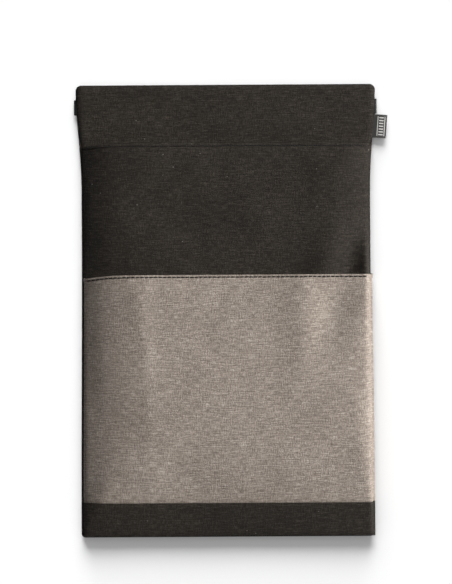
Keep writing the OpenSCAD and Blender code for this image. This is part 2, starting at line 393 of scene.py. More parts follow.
def cloth_object(name, points, material, thickness):
    """A sheet from a grid of points, rows first, with its thickness behind the face that was modelled."""
    index = np.arange(points.shape[0] * points.shape[1]).reshape(points.shape[:2])
    obj = mesh_object(name, points, quads_of(index).tolist(), cloth_uv(points), material)
    solid = obj.modifiers.new("thickness", "SOLIDIFY")
    solid.thickness = thickness
    solid.offset = -1
    solid.use_even_offset = False
    return obj


def slab_object(name, top, bottom, material):
    """A closed pad between two grids of points."""
    index = np.arange(top.shape[0] * top.shape[1]).reshape(top.shape[:2])
    rim = np.concatenate([index[0, :], index[1:, -1], index[-1, -2::-1], index[-2:0:-1, 0]])
    beside = np.roll(rim, -1)
    side = np.stack([rim, rim + index.size, beside + index.size, beside], axis=1)
    quads = quads_of(index)
    faces = np.concatenate([quads, quads[:, ::-1] + index.size, side])
    flat = cloth_uv(top)
    return mesh_object(name, np.stack([top, bottom]), faces.tolist(), np.stack([flat, flat]), material)


def swept(centres, sideways, across, thick, power=2.0, ring=12):
    """Vertices, faces and flat coordinates of a closed strip along a path.

    sideways is a unit vector for each centre, and across and thick are the section's half sizes there.
    A power of 2 gives an oval section, and a higher one a flatter section.
    """
    tangent = np.gradient(centres, axis=0)
    up = np.cross(tangent, sideways)
    up /= np.linalg.norm(up, axis=1, keepdims=True)
    turn = np.linspace(0, 2 * math.pi, ring, endpoint=False)
    c, d = np.cos(turn), np.sin(turn)
    u = np.sign(c) * np.abs(c) ** (2 / power) * across[:, None]
    w = np.sign(d) * np.abs(d) ** (2 / power) * thick[:, None]
    vertices = centres[:, None] + sideways[:, None] * u[..., None] + up[:, None] * w[..., None]
    index = np.arange(vertices.shape[0] * ring).reshape(-1, ring)
    wrapped = np.concatenate([index, index[:, :1]], axis=1)
    faces = quads_of(wrapped).tolist() + [index[0, ::-1].tolist(), index[-1].tolist()]
    length = np.concatenate([[0], np.cumsum(np.linalg.norm(np.diff(centres, axis=0), axis=1))])
    flat = np.stack([u, np.repeat(length[:, None], ring, axis=1)], axis=2)
    return vertices.reshape(-1, 3), faces, flat.reshape(-1, 2)


def swept_object(name, strips, material):
    """One mesh from several swept strips."""
    vertices, faces, flat = [], [], []
    count = 0
    for points, quads, uv in strips:
        faces += [[corner + count for corner in face] for face in quads]
        vertices.append(points)
        flat.append(uv)
        count += len(points)
    return mesh_object(name, np.concatenate(vertices), faces, np.concatenate(flat), material)


def rounded_ends(count, length, radius):
    """The share of a strip's full size at each centre, where its two ends are rounded off."""
    from_end = np.minimum(np.linspace(0, length, count), np.linspace(length, 0, count))
    c = np.clip(1 - from_end / radius, 0, 1)
    return np.sqrt(np.clip(1 - c * c, 0.02, 1))


def round_corners(points, radius, low=True, high=True):
    """Rounds the outline's corners by drawing in the points near them."""
    x, y = points[..., 0], points[..., 1]
    left, right, bottom, top = x.min(axis=1)[:, None], x.max(axis=1)[:, None], y.min(), y.max()
    for side in (-1, 1):
        for end, wanted in ((-1, low), (1, high)):
            if not wanted:
                continue
            dx = (x - (right if side > 0 else left)) * side + radius
            dy = (y - (top if end > 0 else bottom)) * end + radius
            near = (dx > 0) & (dy > 0)
            reach = np.hypot(dx, dy)
            share = np.where(near, np.maximum(dx, dy) / np.maximum(reach, 1e-9), 1)
            points[..., 0] += np.where(near, dx * (share - 1) * side, 0)
            points[..., 1] += np.where(near, dy * (share - 1) * end, 0)
    return points


def patch(y_rows, height, left_in, right_in, x_step=1.15 * MM, x_fine=0.45 * MM):
    """A grid of points over the sleeve's width, between two insets from its side edges."""
    t = graded(-1, 1, 2 * x_step / WAIST_W, 2 * x_fine / WAIST_W)
    y = np.repeat(y_rows[:, None], len(t), axis=1)
    left, right = -(half_w(y) - left_in), half_w(y) - right_in
    x = left + (right - left) * (t + 1) / 2
    return np.stack([x, y, height(x, y)], axis=2)


def tuck_columns(points, left, right):
    """Adds columns that turn down into the side seams: left and right are lists of (inwards, up) steps."""
    cols = [points]
    for inward, up in left:
        cols.insert(0, cols[0][:, :1] + np.array([inward, 0, up]))
    for inward, up in right:
        cols.append(cols[-1][:, -1:] + np.array([-inward, 0, up]))
    return np.concatenate(cols, axis=1)


def tuck_rows(points, start=(), end=()):
    """Adds rows that turn down into a seam: start and end are lists of (along Y, up) steps."""
    rows = [points]
    for forward, up in start:
        rows.insert(0, rows[0][:1] + np.array([0, forward, up]))
    for forward, up in end:
        rows.append(rows[-1][-1:] + np.array([0, forward, up]))
    return np.concatenate(rows, axis=0)


CORNER_DRAW = 0.9 * MM


def draw_in_corners(points, rows, columns, towards):
    """Keeps a corner, where the tucks of two edges meet, as high as its side tucks, and draws it in."""
    end, beside = (slice(0, rows), rows) if towards > 0 else (slice(-rows, None), -rows - 1)
    for side in (slice(0, columns), slice(-columns, None)):
        corner = points[end, side]
        corner[..., 2] = points[beside, side, 2]
        corner[..., 0] -= np.sign(corner[..., 0]) * CORNER_DRAW
        corner[..., 1] += towards * CORNER_DRAW


def turned_hem(points, radius, depth, under, steps=7):
    """Turns the last row over in a half round, and runs the cloth back underneath for some depth."""
    last = points[-1]
    rows = [points]
    for i in range(1, steps + 1):
        a = math.pi * i / steps
        row = last.copy()
        row[:, 1] += radius * math.sin(a)
        row[:, 2] -= radius * (1 - math.cos(a))
        rows.append(row[None])
    back = graded(0, depth, 2.5 * MM, 0.6 * MM)[1:]
    for b in back:
        row = last.copy()
        row[:, 1] -= b
        row[:, 0] *= (half_w(row[:, 1]) - 1.2 * MM * ramp(b / (6 * MM))) / half_w(last[:, 1])
        share = ramp(b / (5 * MM))
        row[:, 2] = (last[:, 2] - 2 * radius) * (1 - share) + under(row[:, 0], row[:, 1]) * share
        rows.append(row[None])
    return np.concatenate(rows, axis=0)


def droop(points, edge_y, amount, reach=38 * MM):
    """Lets the left end of an edge hang down a little, as cloth does towards a tight seam."""
    x, y = points[..., 0], points[..., 1]
    near = np.clip(1 - (x + half_w(y)) / reach, 0, 1) ** 2
    points[..., 1] -= amount * near * ramp((y - edge_y) / (45 * MM) + 1)
    return points


def droop_mouth(points):
    return droop(points, MOUTH_Y, 1.6 * MM)


def droop_pocket(points):
    return droop(points, POCKET_Y, 3.0 * MM)


# ---- Materials -----------------------------------------------------------------------------------------

class Shader:
    """A material's node tree, with short calls for the nodes that the cloths share."""

    def __init__(self, name):
        self.material = bpy.data.materials.new(name)
        self.material.use_nodes = True
        self.tree = self.material.node_tree
        self.bsdf = self.tree.nodes["Principled BSDF"]

    def node(self, kind, inputs=None, **settings):
        made = self.tree.nodes.new(kind)
        for key, value in settings.items():
            setattr(made, key, value)
        for key, value in (inputs or {}).items():
            if isinstance(value, bpy.types.NodeSocket):
                self.tree.links.new(value, made.inputs[key])
            else:
                made.inputs[key].default_value = value
        return made

    def math(self, operation, a, b=0.0):
        return self.node("ShaderNodeMath", {0: a, 1: b}, operation=operation).outputs[0]

    def stretched_noise(self, uv, across, along, detail=2.0):
        """Noise centred on 0, with lumps of the given size across and along the cloth, in metres."""
        scaled = self.node("ShaderNodeMapping", {"Vector": uv, "Scale": (1 / across, 1 / along, 1)})
        made = self.node("ShaderNodeTexNoise",
                         {"Vector": scaled.outputs[0], "Scale": 1.0, "Detail": detail, "Roughness": 0.55})
        return self.math("SUBTRACT", made.outputs["Fac"], 0.5)

    def mixed(self, share, first, second):
        """A colour between two colours or sockets."""
        return self.node("ShaderNodeMix", {0: share, 6: first, 7: second}, data_type="RGBA").outputs[2]

    def weighted(self, *pairs):
        """The sum of sockets times their weights."""
        total = None
        for socket, weight in pairs:
            part = self.math("MULTIPLY", socket, weight)
            total = part if total is None else self.math("ADD", total, part)
        return total


def woven(name, colours, slub, yarn, grain, tone, specks=0.0):
    """A melange cloth: slubs along the weft, finer yarns along the warp, and a plain weave in its relief.

    colours are its darkest, middle and lightest yarns; slub, yarn, grain and tone are the strengths of
    the streaks across, the streaks along, the fine grain and the broad variation. specks is how plainly
    a few light bits of fibre show.
    """
    s = Shader(name)
    uv = s.node("ShaderNodeUVMap", uv_map="cloth").outputs[0]
    weft = s.stretched_noise(uv, 7 * MM, 0.75 * MM, 3.0)
    long_weft = s.stretched_noise(uv, 22 * MM, 1.1 * MM, 2.0)
    warp = s.stretched_noise(uv, 0.8 * MM, 4.5 * MM, 3.0)
    fine = s.stretched_noise(uv, 0.8 * MM, 0.8 * MM, 1.0)
    broad = s.stretched_noise(uv, 60 * MM, 45 * MM, 2.0)
    mix = s.weighted((weft, slub), (long_weft, slub * 0.35), (warp, yarn), (fine, grain), (broad, tone))
    shade = s.math("ADD", mix, 0.5)
    ramp_node = s.node("ShaderNodeValToRGB", {"Fac": shade})
    ramp_node.color_ramp.elements[0].color = (*colours[0], 1)
    ramp_node.color_ramp.elements[1].color = (*colours[2], 1)
    middle = ramp_node.color_ramp.elements.new(0.5)
    middle.color = (*colours[1], 1)
    colour = ramp_node.outputs[0]
    if specks:
        cells = s.node("ShaderNodeTexVoronoi", {"Vector": uv, "Scale": 1 / (7 * MM)}, feature="F1")
        chance = s.node("ShaderNodeSeparateColor", {0: cells.outputs["Color"]})
        rare = s.math("GREATER_THAN", chance.outputs[0], 0.82)
        ragged = s.math("ADD", cells.outputs["Distance"], s.math("MULTIPLY", fine, 0.12))
        near = s.math("LESS_THAN", ragged, 0.05)
        spot = s.math("MULTIPLY", s.math("MULTIPLY", rare, near), specks)
        colour = s.mixed(spot, colour, (*SPECK_COLOUR, 1))
    s.tree.links.new(colour, s.bsdf.inputs["Base Color"])
    axes = s.node("ShaderNodeSeparateXYZ", {0: uv})
    wave_u = s.math("SINE", s.math("MULTIPLY", axes.outputs[0], 2 * math.pi / WEAVE_PITCH))
    wave_v = s.math("SINE", s.math("MULTIPLY", axes.outputs[1], 2 * math.pi / WEAVE_PITCH))
    weave = s.math("MULTIPLY", wave_u, wave_v)
    relief = s.weighted((weave, 0.35), (weft, 1.1), (warp, 0.8), (fine, 0.5))
    bumped = s.node("ShaderNodeBump", {"Height": relief, "Strength": 0.8, "Distance": 0.35 * MM})
    s.tree.links.new(bumped.outputs[0], s.bsdf.inputs["Normal"])
    rough = s.node("ShaderNodeMapRange", {"Value": shade, "To Min": 0.98, "To Max": 0.8})
    s.tree.links.new(rough.outputs[0], s.bsdf.inputs["Roughness"])
    s.bsdf.inputs["Specular IOR Level"].default_value = 0.22
    s.bsdf.inputs["Sheen Weight"].default_value = 0.03
    s.bsdf.inputs["Sheen Roughness"].default_value = 0.45
    s.bsdf.inputs["Sheen Tint"].default_value = (*colours[2], 1)
    return s.material


def simple_cloth(name, colour, pitch_u, pitch_v, bump, roughness, sheen=0.1):
    """A plain cloth, tape or thread with ribs or weave of the given pitches."""
    s = Shader(name)
    uv = s.node("ShaderNodeUVMap", uv_map="cloth").outputs[0]
    axes = s.node("ShaderNodeSeparateXYZ", {0: uv})
    wave_u = s.math("SINE", s.math("MULTIPLY", axes.outputs[0], 2 * math.pi / pitch_u))
    wave_v = s.math("SINE", s.math("MULTIPLY", axes.outputs[1], 2 * math.pi / pitch_v))
    fibres = s.stretched_noise(uv, pitch_u, pitch_v * 4, 2.0)
    relief = s.weighted((wave_u, 0.4), (wave_v, 0.4), (fibres, 0.9))
    light = s.node("ShaderNodeMapRange", {"Value": relief, "From Min": -1.0, "From Max": 1.0})
    darker = (*[c * 0.6 for c in colour], 1)
    lighter = (*[c * 1.4 for c in colour], 1)
    s.tree.links.new(s.mixed(light.outputs[0], darker, lighter), s.bsdf.inputs["Base Color"])
    bumped = s.node("ShaderNodeBump", {"Height": relief, "Strength": bump, "Distance": 0.2 * MM})
    s.tree.links.new(bumped.outputs[0], s.bsdf.inputs["Normal"])
    s.bsdf.inputs["Roughness"].default_value = roughness
    s.bsdf.inputs["Specular IOR Level"].default_value = 0.3
    s.bsdf.inputs["Sheen Weight"].default_value = sheen
    return s.material


def woven_label(name):
    """Black satin ribbon with a plain woven border: a row of bars between two thin lines, on each half."""
    s = Shader(name)
    uv = s.node("ShaderNodeUVMap", uv_map="cloth").outputs[0]
    axes = s.node("ShaderNodeSeparateXYZ", {0: uv})
    u, v = axes.outputs[0], axes.outputs[1]
    from_fold = s.math("ABSOLUTE", s.math("SUBTRACT", v, LABEL_FOLD_V))

    def band(value, middle, width):
        return s.math("LESS_THAN", s.math("ABSOLUTE", s.math("SUBTRACT", value, middle)), width / 2)

    across = s.math("PINGPONG", u, 1.1 * MM)
    bars = s.math("MULTIPLY", band(from_fold, 4.6 * MM, 3.4 * MM), s.math("LESS_THAN", across, 0.42 * MM))
    lines = s.math("ADD", band(from_fold, 1.9 * MM, 0.5 * MM), band(from_fold, 7.3 * MM, 0.5 * MM))
    inner = s.math("LESS_THAN", s.math("ABSOLUTE", u), 7.6 * MM)
    pattern = s.math("MULTIPLY", s.math("MAXIMUM", bars, lines), inner)
    yarn = s.math("SINE", s.math("MULTIPLY", v, 2 * math.pi / (0.35 * MM)))
    weft = s.math("SINE", s.math("MULTIPLY", u, 2 * math.pi / (0.28 * MM)))
    fibres = s.stretched_noise(uv, 0.4 * MM, 1.6 * MM, 2.0)
    relief = s.weighted((yarn, 0.25), (weft, 0.25), (fibres, 0.8), (pattern, 0.9))
    light = s.node("ShaderNodeMapRange", {"Value": relief, "From Min": -0.8, "From Max": 0.8})
    ground = s.mixed(light.outputs[0], (0.007, 0.0065, 0.006, 1), (0.028, 0.026, 0.024, 1))
    s.tree.links.new(s.mixed(pattern, ground, (0.42, 0.41, 0.39, 1)), s.bsdf.inputs["Base Color"])
    bumped = s.node("ShaderNodeBump", {"Height": relief, "Strength": 0.5, "Distance": 0.15 * MM})
    s.tree.links.new(bumped.outputs[0], s.bsdf.inputs["Normal"])
    s.bsdf.inputs["Roughness"].default_value = 0.5
    s.bsdf.inputs["Specular IOR Level"].default_value = 0.35
    return s.material


# The ribbon's length up to the middle of its fold
LABEL_FOLD_V = 14.3 * MM

SPECK_COLOUR = (0.35, 0.33, 0.29)
CHARCOAL_YARNS = [(0.0050, 0.0040, 0.0031), (0.0185, 0.0147, 0.0113), (0.060, 0.049, 0.038)]
TAUPE_YARNS = [(0.095, 0.076, 0.063), (0.262, 0.218, 0.184), (0.53, 0.465, 0.405)]

CHARCOAL = woven("charcoal_canvas", CHARCOAL_YARNS, slub=1.15, yarn=0.9, grain=0.9, tone=0.35, specks=0.5)
TAUPE = woven("taupe_melange", TAUPE_YARNS, slub=1.15, yarn=0.95, grain=0.8, tone=0.3)
LINING = simple_cloth("lining", (0.05, 0.05, 0.053), 0.35 * MM, 0.35 * MM, 0.3, 0.6)
FOAM = simple_cloth("foam", (0.42, 0.42, 0.40), 0.9 * MM, 0.9 * MM, 0.8, 0.95)
TAPE = simple_cloth("binding_tape", (0.018, 0.018, 0.018), 0.5 * MM, 0.5 * MM, 0.5, 0.8)
THREAD = simple_cloth("thread", (0.005, 0.0045, 0.004), 0.25 * MM, 0.8 * MM, 0.6, 0.7, sheen=0.0)
ELASTIC = simple_cloth("elastic", (0.009, 0.0088, 0.0085), 0.9 * MM, 1.5 * MM, 0.7, 0.8, sheen=0.03)
LABEL = woven_label("label_ribbon")


# ---- Outer cloths of the body --------------------------------------------------------------------------

FRONT_FOLDS = simulated_folds(POCKET_Y - 30 * MM, MOUTH_Y, cavity_z, 0.004, 0.7 * MM)
POCKET_FOLDS = simulated_folds(BAND_Y, POCKET_Y, cavity_z, 0.004, 0.5 * MM)


# How a cloth's edge turns down into a side seam, and into the seam between the pocket and the band, in
# steps of (inwards, up)
SIDE_TUCKS = [(0.1 * MM, -0.6 * MM), (0.2 * MM, -0.8 * MM), (0.3 * MM, -0.8 * MM)]
BAND_TUCKS = [(0.02 * MM, -0.4 * MM), (0.15 * MM, -0.8 * MM)]


FACING_L = 25 * MM
HEM_L = 16 * MM


def make_front_cloth():
    radius = 1.45 * MM
    rows = graded(BOTTOM_Y + SEAM_IN_BOTTOM, MOUTH_Y - radius, 2.2 * MM, 0.5 * MM)
    points = patch(rows, front_z, SEAM_IN_LEFT, SEAM_IN_RIGHT)
    points = turned_hem(points, radius, FACING_L, lambda x, y: cavity_z(x, y) + 0.9 * MM)
    points = tuck_columns(points, SIDE_TUCKS, SIDE_TUCKS)
    points = tuck_rows(points, start=SIDE_TUCKS)
    draw_in_corners(points, len(SIDE_TUCKS), len(SIDE_TUCKS), 1)
    droop_mouth(points)
    cloth = cloth_object("front_cloth", points, CHARCOAL, OUTER_T * 0.8)
    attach(cloth, "case_body")
    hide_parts("front_panel", "mouth_facing")


def pocket_points(rows):
    """The pocket layer's grid, whose right edge stands out a little past the sleeve."""
    points = patch(rows, pocket_z, SEAM_IN_LEFT + 0.1 * MM, SEAM_IN_RIGHT)
    x, y = points[..., 0], points[..., 1]
    near_right = np.exp(-np.clip(half_w(y) - SEAM_IN_RIGHT - x, 0, None) / (2.5 * MM))
    points[..., 0] += 1.3 * MM * near_right * (x > 0)
    return points


def make_pocket_cloth():
    radius = 0.85 * MM
    rows = graded(BAND_Y, POCKET_Y - radius, 2.2 * MM, 0.45 * MM)
    points = turned_hem(pocket_points(rows), radius, HEM_L, lambda x, y: pocket_z(x, y) - 1.75 * MM)
    points = tuck_columns(points, SIDE_TUCKS, SIDE_TUCKS)
    points = tuck_rows(points, start=BAND_TUCKS)
    draw_in_corners(points, len(BAND_TUCKS), len(SIDE_TUCKS), 1)
    droop_pocket(points)
    cloth = cloth_object("pocket_cloth", points, TAUPE, OUTER_T * 0.9)
    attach(cloth, "case_body")
    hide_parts("pocket_panel", "pocket_hem")


def make_band_cloth():
    rows = graded(BOTTOM_Y + SEAM_IN_BOTTOM, BAND_Y - 0.1 * MM, 2.2 * MM, 0.45 * MM)
    points = tuck_columns(pocket_points(rows), SIDE_TUCKS, SIDE_TUCKS)
    points = tuck_rows(points, start=SIDE_TUCKS, end=[(-inward, up) for inward, up in BAND_TUCKS])
    draw_in_corners(points, len(SIDE_TUCKS), len(SIDE_TUCKS), 1)
    draw_in_corners(points, len(BAND_TUCKS), len(SIDE_TUCKS), -1)
    cloth = cloth_object("band_cloth", points, CHARCOAL, OUTER_T * 0.9)
    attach(cloth, "case_body")
    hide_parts("bottom_band")


# ---- Back cloth, with its rolled rim -------------------------------------------------------------------

RIM_STEPS = 8
CORNER_LOW = 3.0 * MM
CORNER_HIGH = 4.5 * MM


def rim_profile(roll, radius, ring):
    """(inset, height) of a ring of the rim. Ring 0 is tucked into the seam; roll is where the seam lies,
    from 90 degrees on top of the edge to 180 at its side."""
    if ring == 0:
        a = math.radians(roll)
        return radius * (1 + np.cos(a)) + 0.5 * MM, radius * (1 + np.sin(a)) - 0.6 * MM
    share = (ring - 1) / (RIM_STEPS - 1)
    a = np.radians(roll + (270 - roll) * share)
    return radius * (1 + np.cos(a)), radius * (1 + np.sin(a))


def rim_shape(y, roll_body, roll_flap):
    """The seam's place round the edge and the edge's radius, from the body to the flap."""
    share = ramp((y - (FOLD_Y - 8 * MM)) / (16 * MM))
    roll = roll_body * (1 - share) + roll_flap * share
    radius = 2.6 * MM * (1 - share) + FLAP_T / 2 * share
    return roll, radius


def back_points():
    """A grid whose outer rings wrap up round the edge, with a round corner at each end of a side."""
    rings = RIM_STEPS
    rows = graded(BOTTOM_Y + CORNER_LOW, TOP_Y - CORNER_HIGH, 2.4 * MM, 0.8 * MM)
    t = graded(-1, 1, 2 * 2.4 * MM / WAIST_W, 2 * 0.8 * MM / WAIST_W)
    rows_n, cols_n = len(rows) + 2 * rings, len(t) + 2 * rings
    points = np.zeros((rows_n, cols_n, 3))
    leg = np.interp(rows, [rows[0], rows[-1]], [CORNER_LOW, CORNER_HIGH])
    inner_x = half_w(rows) - leg
    points[rings:-rings, rings:-rings, 0] = inner_x[:, None] * t[None]
    points[rings:-rings, rings:-rings, 1] = rows[:, None]
    points[rings:-rings, rings:-rings, 2] = flap_floor(rows)[:, None]
    sides = {-1: 103.0, 1: 163.0}
    ends = {-1: (CORNER_LOW, BOTTOM_Y, 150.0, 2.6 * MM), 1: (CORNER_HIGH, TOP_Y, 172.0, FLAP_T / 2)}
    for ring in range(rings):
        for sign, roll_body in sides.items():
            column = ring if sign < 0 else cols_n - 1 - ring
            for j, y in enumerate(rows):
                roll, radius = rim_shape(y, roll_body, 172.0)
                inset, height = rim_profile(roll, radius, ring)
                points[rings + j, column] = (sign * (half_w(y) - inset), y, flap_floor(y) + height)
        for sign, (corner, edge_y, roll, radius) in ends.items():
            row = ring if sign < 0 else rows_n - 1 - ring
            inset, height = rim_profile(roll, radius, ring)
            base = points[rings if sign < 0 else -rings - 1, rings:-rings]
            points[row, rings:-rings, 0] = base[:, 0]
            points[row, rings:-rings, 1] = edge_y - sign * inset
            points[row, rings:-rings, 2] = base[:, 2] + height
            for side, side_roll in sides.items():
                side_roll = side_roll if sign < 0 else 172.0
                centre = base[0] if side < 0 else base[-1]
                count = rings - ring
                for k in range(-count, count + 1):
                    share = (k + count) / (2 * count)
                    turn = math.radians(90 * share)
                    mixed = side_roll * (1 - share) + roll * share
                    inset, height = rim_profile(mixed, radius, ring)
                    reach = corner - inset
                    place = (centre[0] + side * reach * math.cos(turn),
                             centre[1] + sign * reach * math.sin(turn), centre[2] + height)
                    i = ring + max(k, 0)
                    j = ring + max(-k, 0)
                    points[j if sign < 0 else rows_n - 1 - j, i if side < 0 else cols_n - 1 - i] = place
    return points


def make_back_cloth():
    points = back_points()[:, ::-1]
    cloth = cloth_object("back_cloth", points, CHARCOAL, OUTER_T * 0.8)
    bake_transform(cloth)
    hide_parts("back_panel", "flap_panel")
    return cloth


# ---- Flap facing and linings ---------------------------------------------------------------------------

FACING_LOW_Y = MOUTH_Y - 12 * MM


def make_flap_facing():
    """The cloth that lines the flap and runs down into the mouth."""
    seam = 0.55 * MM
    rows = graded(FACING_LOW_Y, TOP_Y - seam, 1.8 * MM, 0.4 * MM)
    points = patch(rows, flap_face, seam, seam)
    body = ramp((FOLD_Y + 3 * MM - points[..., 1]) / (6 * MM)) * ramp(np.abs(points[..., 0]) / (100 * MM))
    points[..., 0] -= np.sign(points[..., 0]) * body * 1.6 * MM
    tucks = [(-0.25 * MM, -0.45 * MM), (0.0, -0.6 * MM), (0.5 * MM, -0.5 * MM)]
    points = tuck_columns(points, tucks, tucks)
    points = tuck_rows(points, end=[(-inward, up) for inward, up in tucks])
    round_corners(points, CORNER_HIGH, low=False)
    draw_in_corners(points, len(tucks), len(tucks), -1)
    cloth = cloth_object("flap_facing_cloth", points, CHARCOAL, OUTER_T * 0.8)
    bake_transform(cloth)
    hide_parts("flap_facing")


LINING_IN = 3 * MM


def back_lining_z(x, y):
    return BACK_TOP + 0.12 * MM * noise(x, y, 30 * MM, 31)


def front_lining_z(x, y):
    """The front lining's upper face, which gives way where a hollow of the front presses it down."""
    return np.minimum(cavity_z(x, y) + LINING_T, front_z(x, y) - OUTER_T - 1.6 * MM)


def make_linings():
    rows = graded(BOTTOM_Y + LINING_IN, FACING_LOW_Y + 8 * MM, 5 * MM, 1 * MM)
    points = patch(rows, back_lining_z, LINING_IN, LINING_IN, 5 * MM, 1 * MM)
    back = cloth_object("back_lining_cloth", points, LINING, LINING_T * 0.8)
    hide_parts("back_lining")

    rows = graded(BOTTOM_Y + LINING_IN, MOUTH_Y - FACING_L + 1 * MM, 4 * MM, 1 * MM)
    points = patch(rows, front_lining_z, LINING_IN, LINING_IN, 2.5 * MM, 1 * MM)
    front = cloth_object("front_lining_cloth", points, LINING, LINING_T * 0.8)
    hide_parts("front_lining")
    for lining in (back, front):
        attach(lining, "case_body")


# ---- Foam ----------------------------------------------------------------------------------------------

FOAM_IN = 5.3 * MM


def foam_pad(name, rows, low, high, node, body):
    """A foam sheet between two heights, whose edges are crushed a little by the seams."""
    def crushed(height, sign):
        def shape(x, y):
            from_side = half_w(y) - FOAM_IN - np.abs(x)
            from_end = np.minimum(y - rows[0], rows[-1] - y)
            edge = 1 - ramp(np.minimum(from_side, from_end) / (2.5 * MM))
            return height(x, y) - sign * 0.5 * MM * edge + 0.05 * MM * noise(x, y, 6 * MM, 41)
        return shape
    top, bottom = [patch(rows, crushed(height, sign), FOAM_IN, FOAM_IN, 2.2 * MM, 0.7 * MM)
                   for height, sign in ((high, 1), (low, -1))]
    pad = slab_object(name, top, bottom, FOAM)
    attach(pad, body)
    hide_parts(node)


def make_foam():
    back_low, back_high = (corner.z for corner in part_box("back_padding"))

    def level(height):
        return lambda x, y: height + 0 * x

    def flap_level(height):
        return lambda x, y: height + flap_floor(y)

    def front_low(x, y):
        return np.minimum(cavity_z(x, y) + LINING_T + 0.2 * MM, front_z(x, y) - OUTER_T - 1.2 * MM)

    def front_high(x, y):
        return front_z(x, y) - OUTER_T - 0.35 * MM

    back_rows = graded(BOTTOM_Y + FOAM_IN, FOLD_Y - 3 * MM, 5 * MM, 0.7 * MM)
    flap_rows = graded(FOLD_Y + 7 * MM, TOP_Y - FOAM_IN, 3 * MM, 0.7 * MM)
    front_rows = graded(BOTTOM_Y + FOAM_IN, MOUTH_Y - 3 * MM, 2.2 * MM, 0.7 * MM)
    foam_pad("back_foam", back_rows, level(back_low), level(back_high), "back_padding", "case_body")
    foam_pad("flap_foam", flap_rows, flap_level(back_low), flap_level(back_high - 0.2 * MM),
             "flap_padding", "flap")
    foam_pad("front_foam", front_rows, front_low, front_high, "front_padding", "case_body")


# ---- Seam bindings -------------------------------------------------------------------------------------

BINDING_IN = 2.9 * MM
BINDING_HALF_W = 1.9 * MM
BINDING_HALF_T = 1.15 * MM


def binding(name, plan, level, node, body):
    """A bound seam allowance: a padded tape along a path in plan, at a height given for each point."""
    path = np.array([(x, y, level(y)) for x, y in plan])
    path[:, 2] += 0.08 * MM * noise(path[:, 0], path[:, 1], 9 * MM, 51)
    along = np.gradient(path[:, :2], axis=0)
    sideways = np.stack([-along[:, 1], along[:, 0], 0 * along[:, 0]], axis=1)
    sideways /= np.linalg.norm(sideways, axis=1, keepdims=True)
    size = rounded_ends(len(path), np.sum(np.hypot(along[:, 0], along[:, 1])), 2 * MM)
    strip = swept(path, sideways, BINDING_HALF_W * size, BINDING_HALF_T * size, 3.5, 20)
    tape = swept_object(name, [strip], TAPE)
    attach(tape, body)
    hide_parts(node)


def make_bindings():
    level = (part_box("left_seam_binding")[0].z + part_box("left_seam_binding")[1].z) / 2
    sides = np.arange(BOTTOM_Y + 6 * MM, FOLD_Y - 2 * MM, 1.5 * MM)
    for name, sign in (("left_binding", -1), ("right_binding", 1)):
        binding(name, [(sign * (half_w(y) - BINDING_IN), y) for y in sides], lambda y: level,
                name.replace("_binding", "_seam_binding"), "case_body")
    bottom = np.linspace(-1, 1, 151) * (half_w(BOTTOM_Y) - 6 * MM)
    binding("bottom_binding", [(x, BOTTOM_Y + BINDING_IN) for x in bottom], lambda y: level,
            "bottom_seam_binding", "case_body")

    r = 5 * MM
    end_y = TOP_Y - BINDING_IN
    side_y = np.arange(FOLD_Y + 8 * MM, TOP_Y - BINDING_IN - r, 1 * MM)
    right = [(half_w(y) - BINDING_IN, y) for y in side_y]
    corner_x = half_w(TOP_Y) - BINDING_IN - r
    quarter = np.linspace(0, math.pi / 2, 12)
    right += [(corner_x + r * math.cos(a), end_y - r + r * math.sin(a)) for a in quarter]
    across = [(x, end_y) for x in np.linspace(corner_x, -corner_x, 120)[1:-1]]
    left = [(-x, y) for x, y in right[::-1]]
    binding("flap_binding", right + across + left, lambda y: flap_floor(y) + FLAP_T / 2 - 0.1 * MM,
            "flap_seam_binding", "flap")


# ---- Topstitching --------------------------------------------------------------------------------------

STITCH_POINTS = 13


def stitch_row(name, edge_y, inset, height, drooped, node):
    """A row of stitches along an edge, each a short thread that dips into the cloth at both ends."""
    y = edge_y - inset
    count = int(2 * (half_w(y) - 2.6 * MM) / STITCH_PITCH)
    rng = np.random.default_rng(len(name))
    strips = []
    for i in range(count):
        middle = (i - (count - 1) / 2) * STITCH_PITCH
        length = STITCH_L * rng.uniform(0.92, 1.06)
        skew = math.radians(rng.normal(0, 1.6))
        t = np.linspace(-0.5, 0.5, STITCH_POINTS) * length
        x = middle + t * math.cos(skew)
        along = y + t * math.sin(skew) + rng.normal(0, 0.06 * MM)
        line = np.stack([x, along, height(x, np.full(STITCH_POINTS, y))], axis=1)
        line[:, 2] += THREAD_T * (0.36 - 1.1 * (2 * np.abs(t) / length) ** 8)
        line = drooped(line)
        sideways = np.repeat([[0.0, -1.0, 0.0]], STITCH_POINTS, axis=0)
        radius = THREAD_T * 0.52 * rounded_ends(STITCH_POINTS, length, THREAD_T * 0.6)
        strips.append(swept(line, sideways, radius, radius, 2.0, 10))
    row = swept_object(name, strips, THREAD)
    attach(row, "case_body")
    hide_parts(node)


def make_topstitching():
    stitch_row("mouth_stitches", MOUTH_Y, MOUTH_STITCH_IN, front_z, droop_mouth, "mouth_topstitch")
    stitch_row("pocket_stitches", POCKET_Y, POCKET_STITCH_IN, pocket_z, droop_pocket, "pocket_topstitch")


# ---- Elastic -------------------------------------------------------------------------------------------

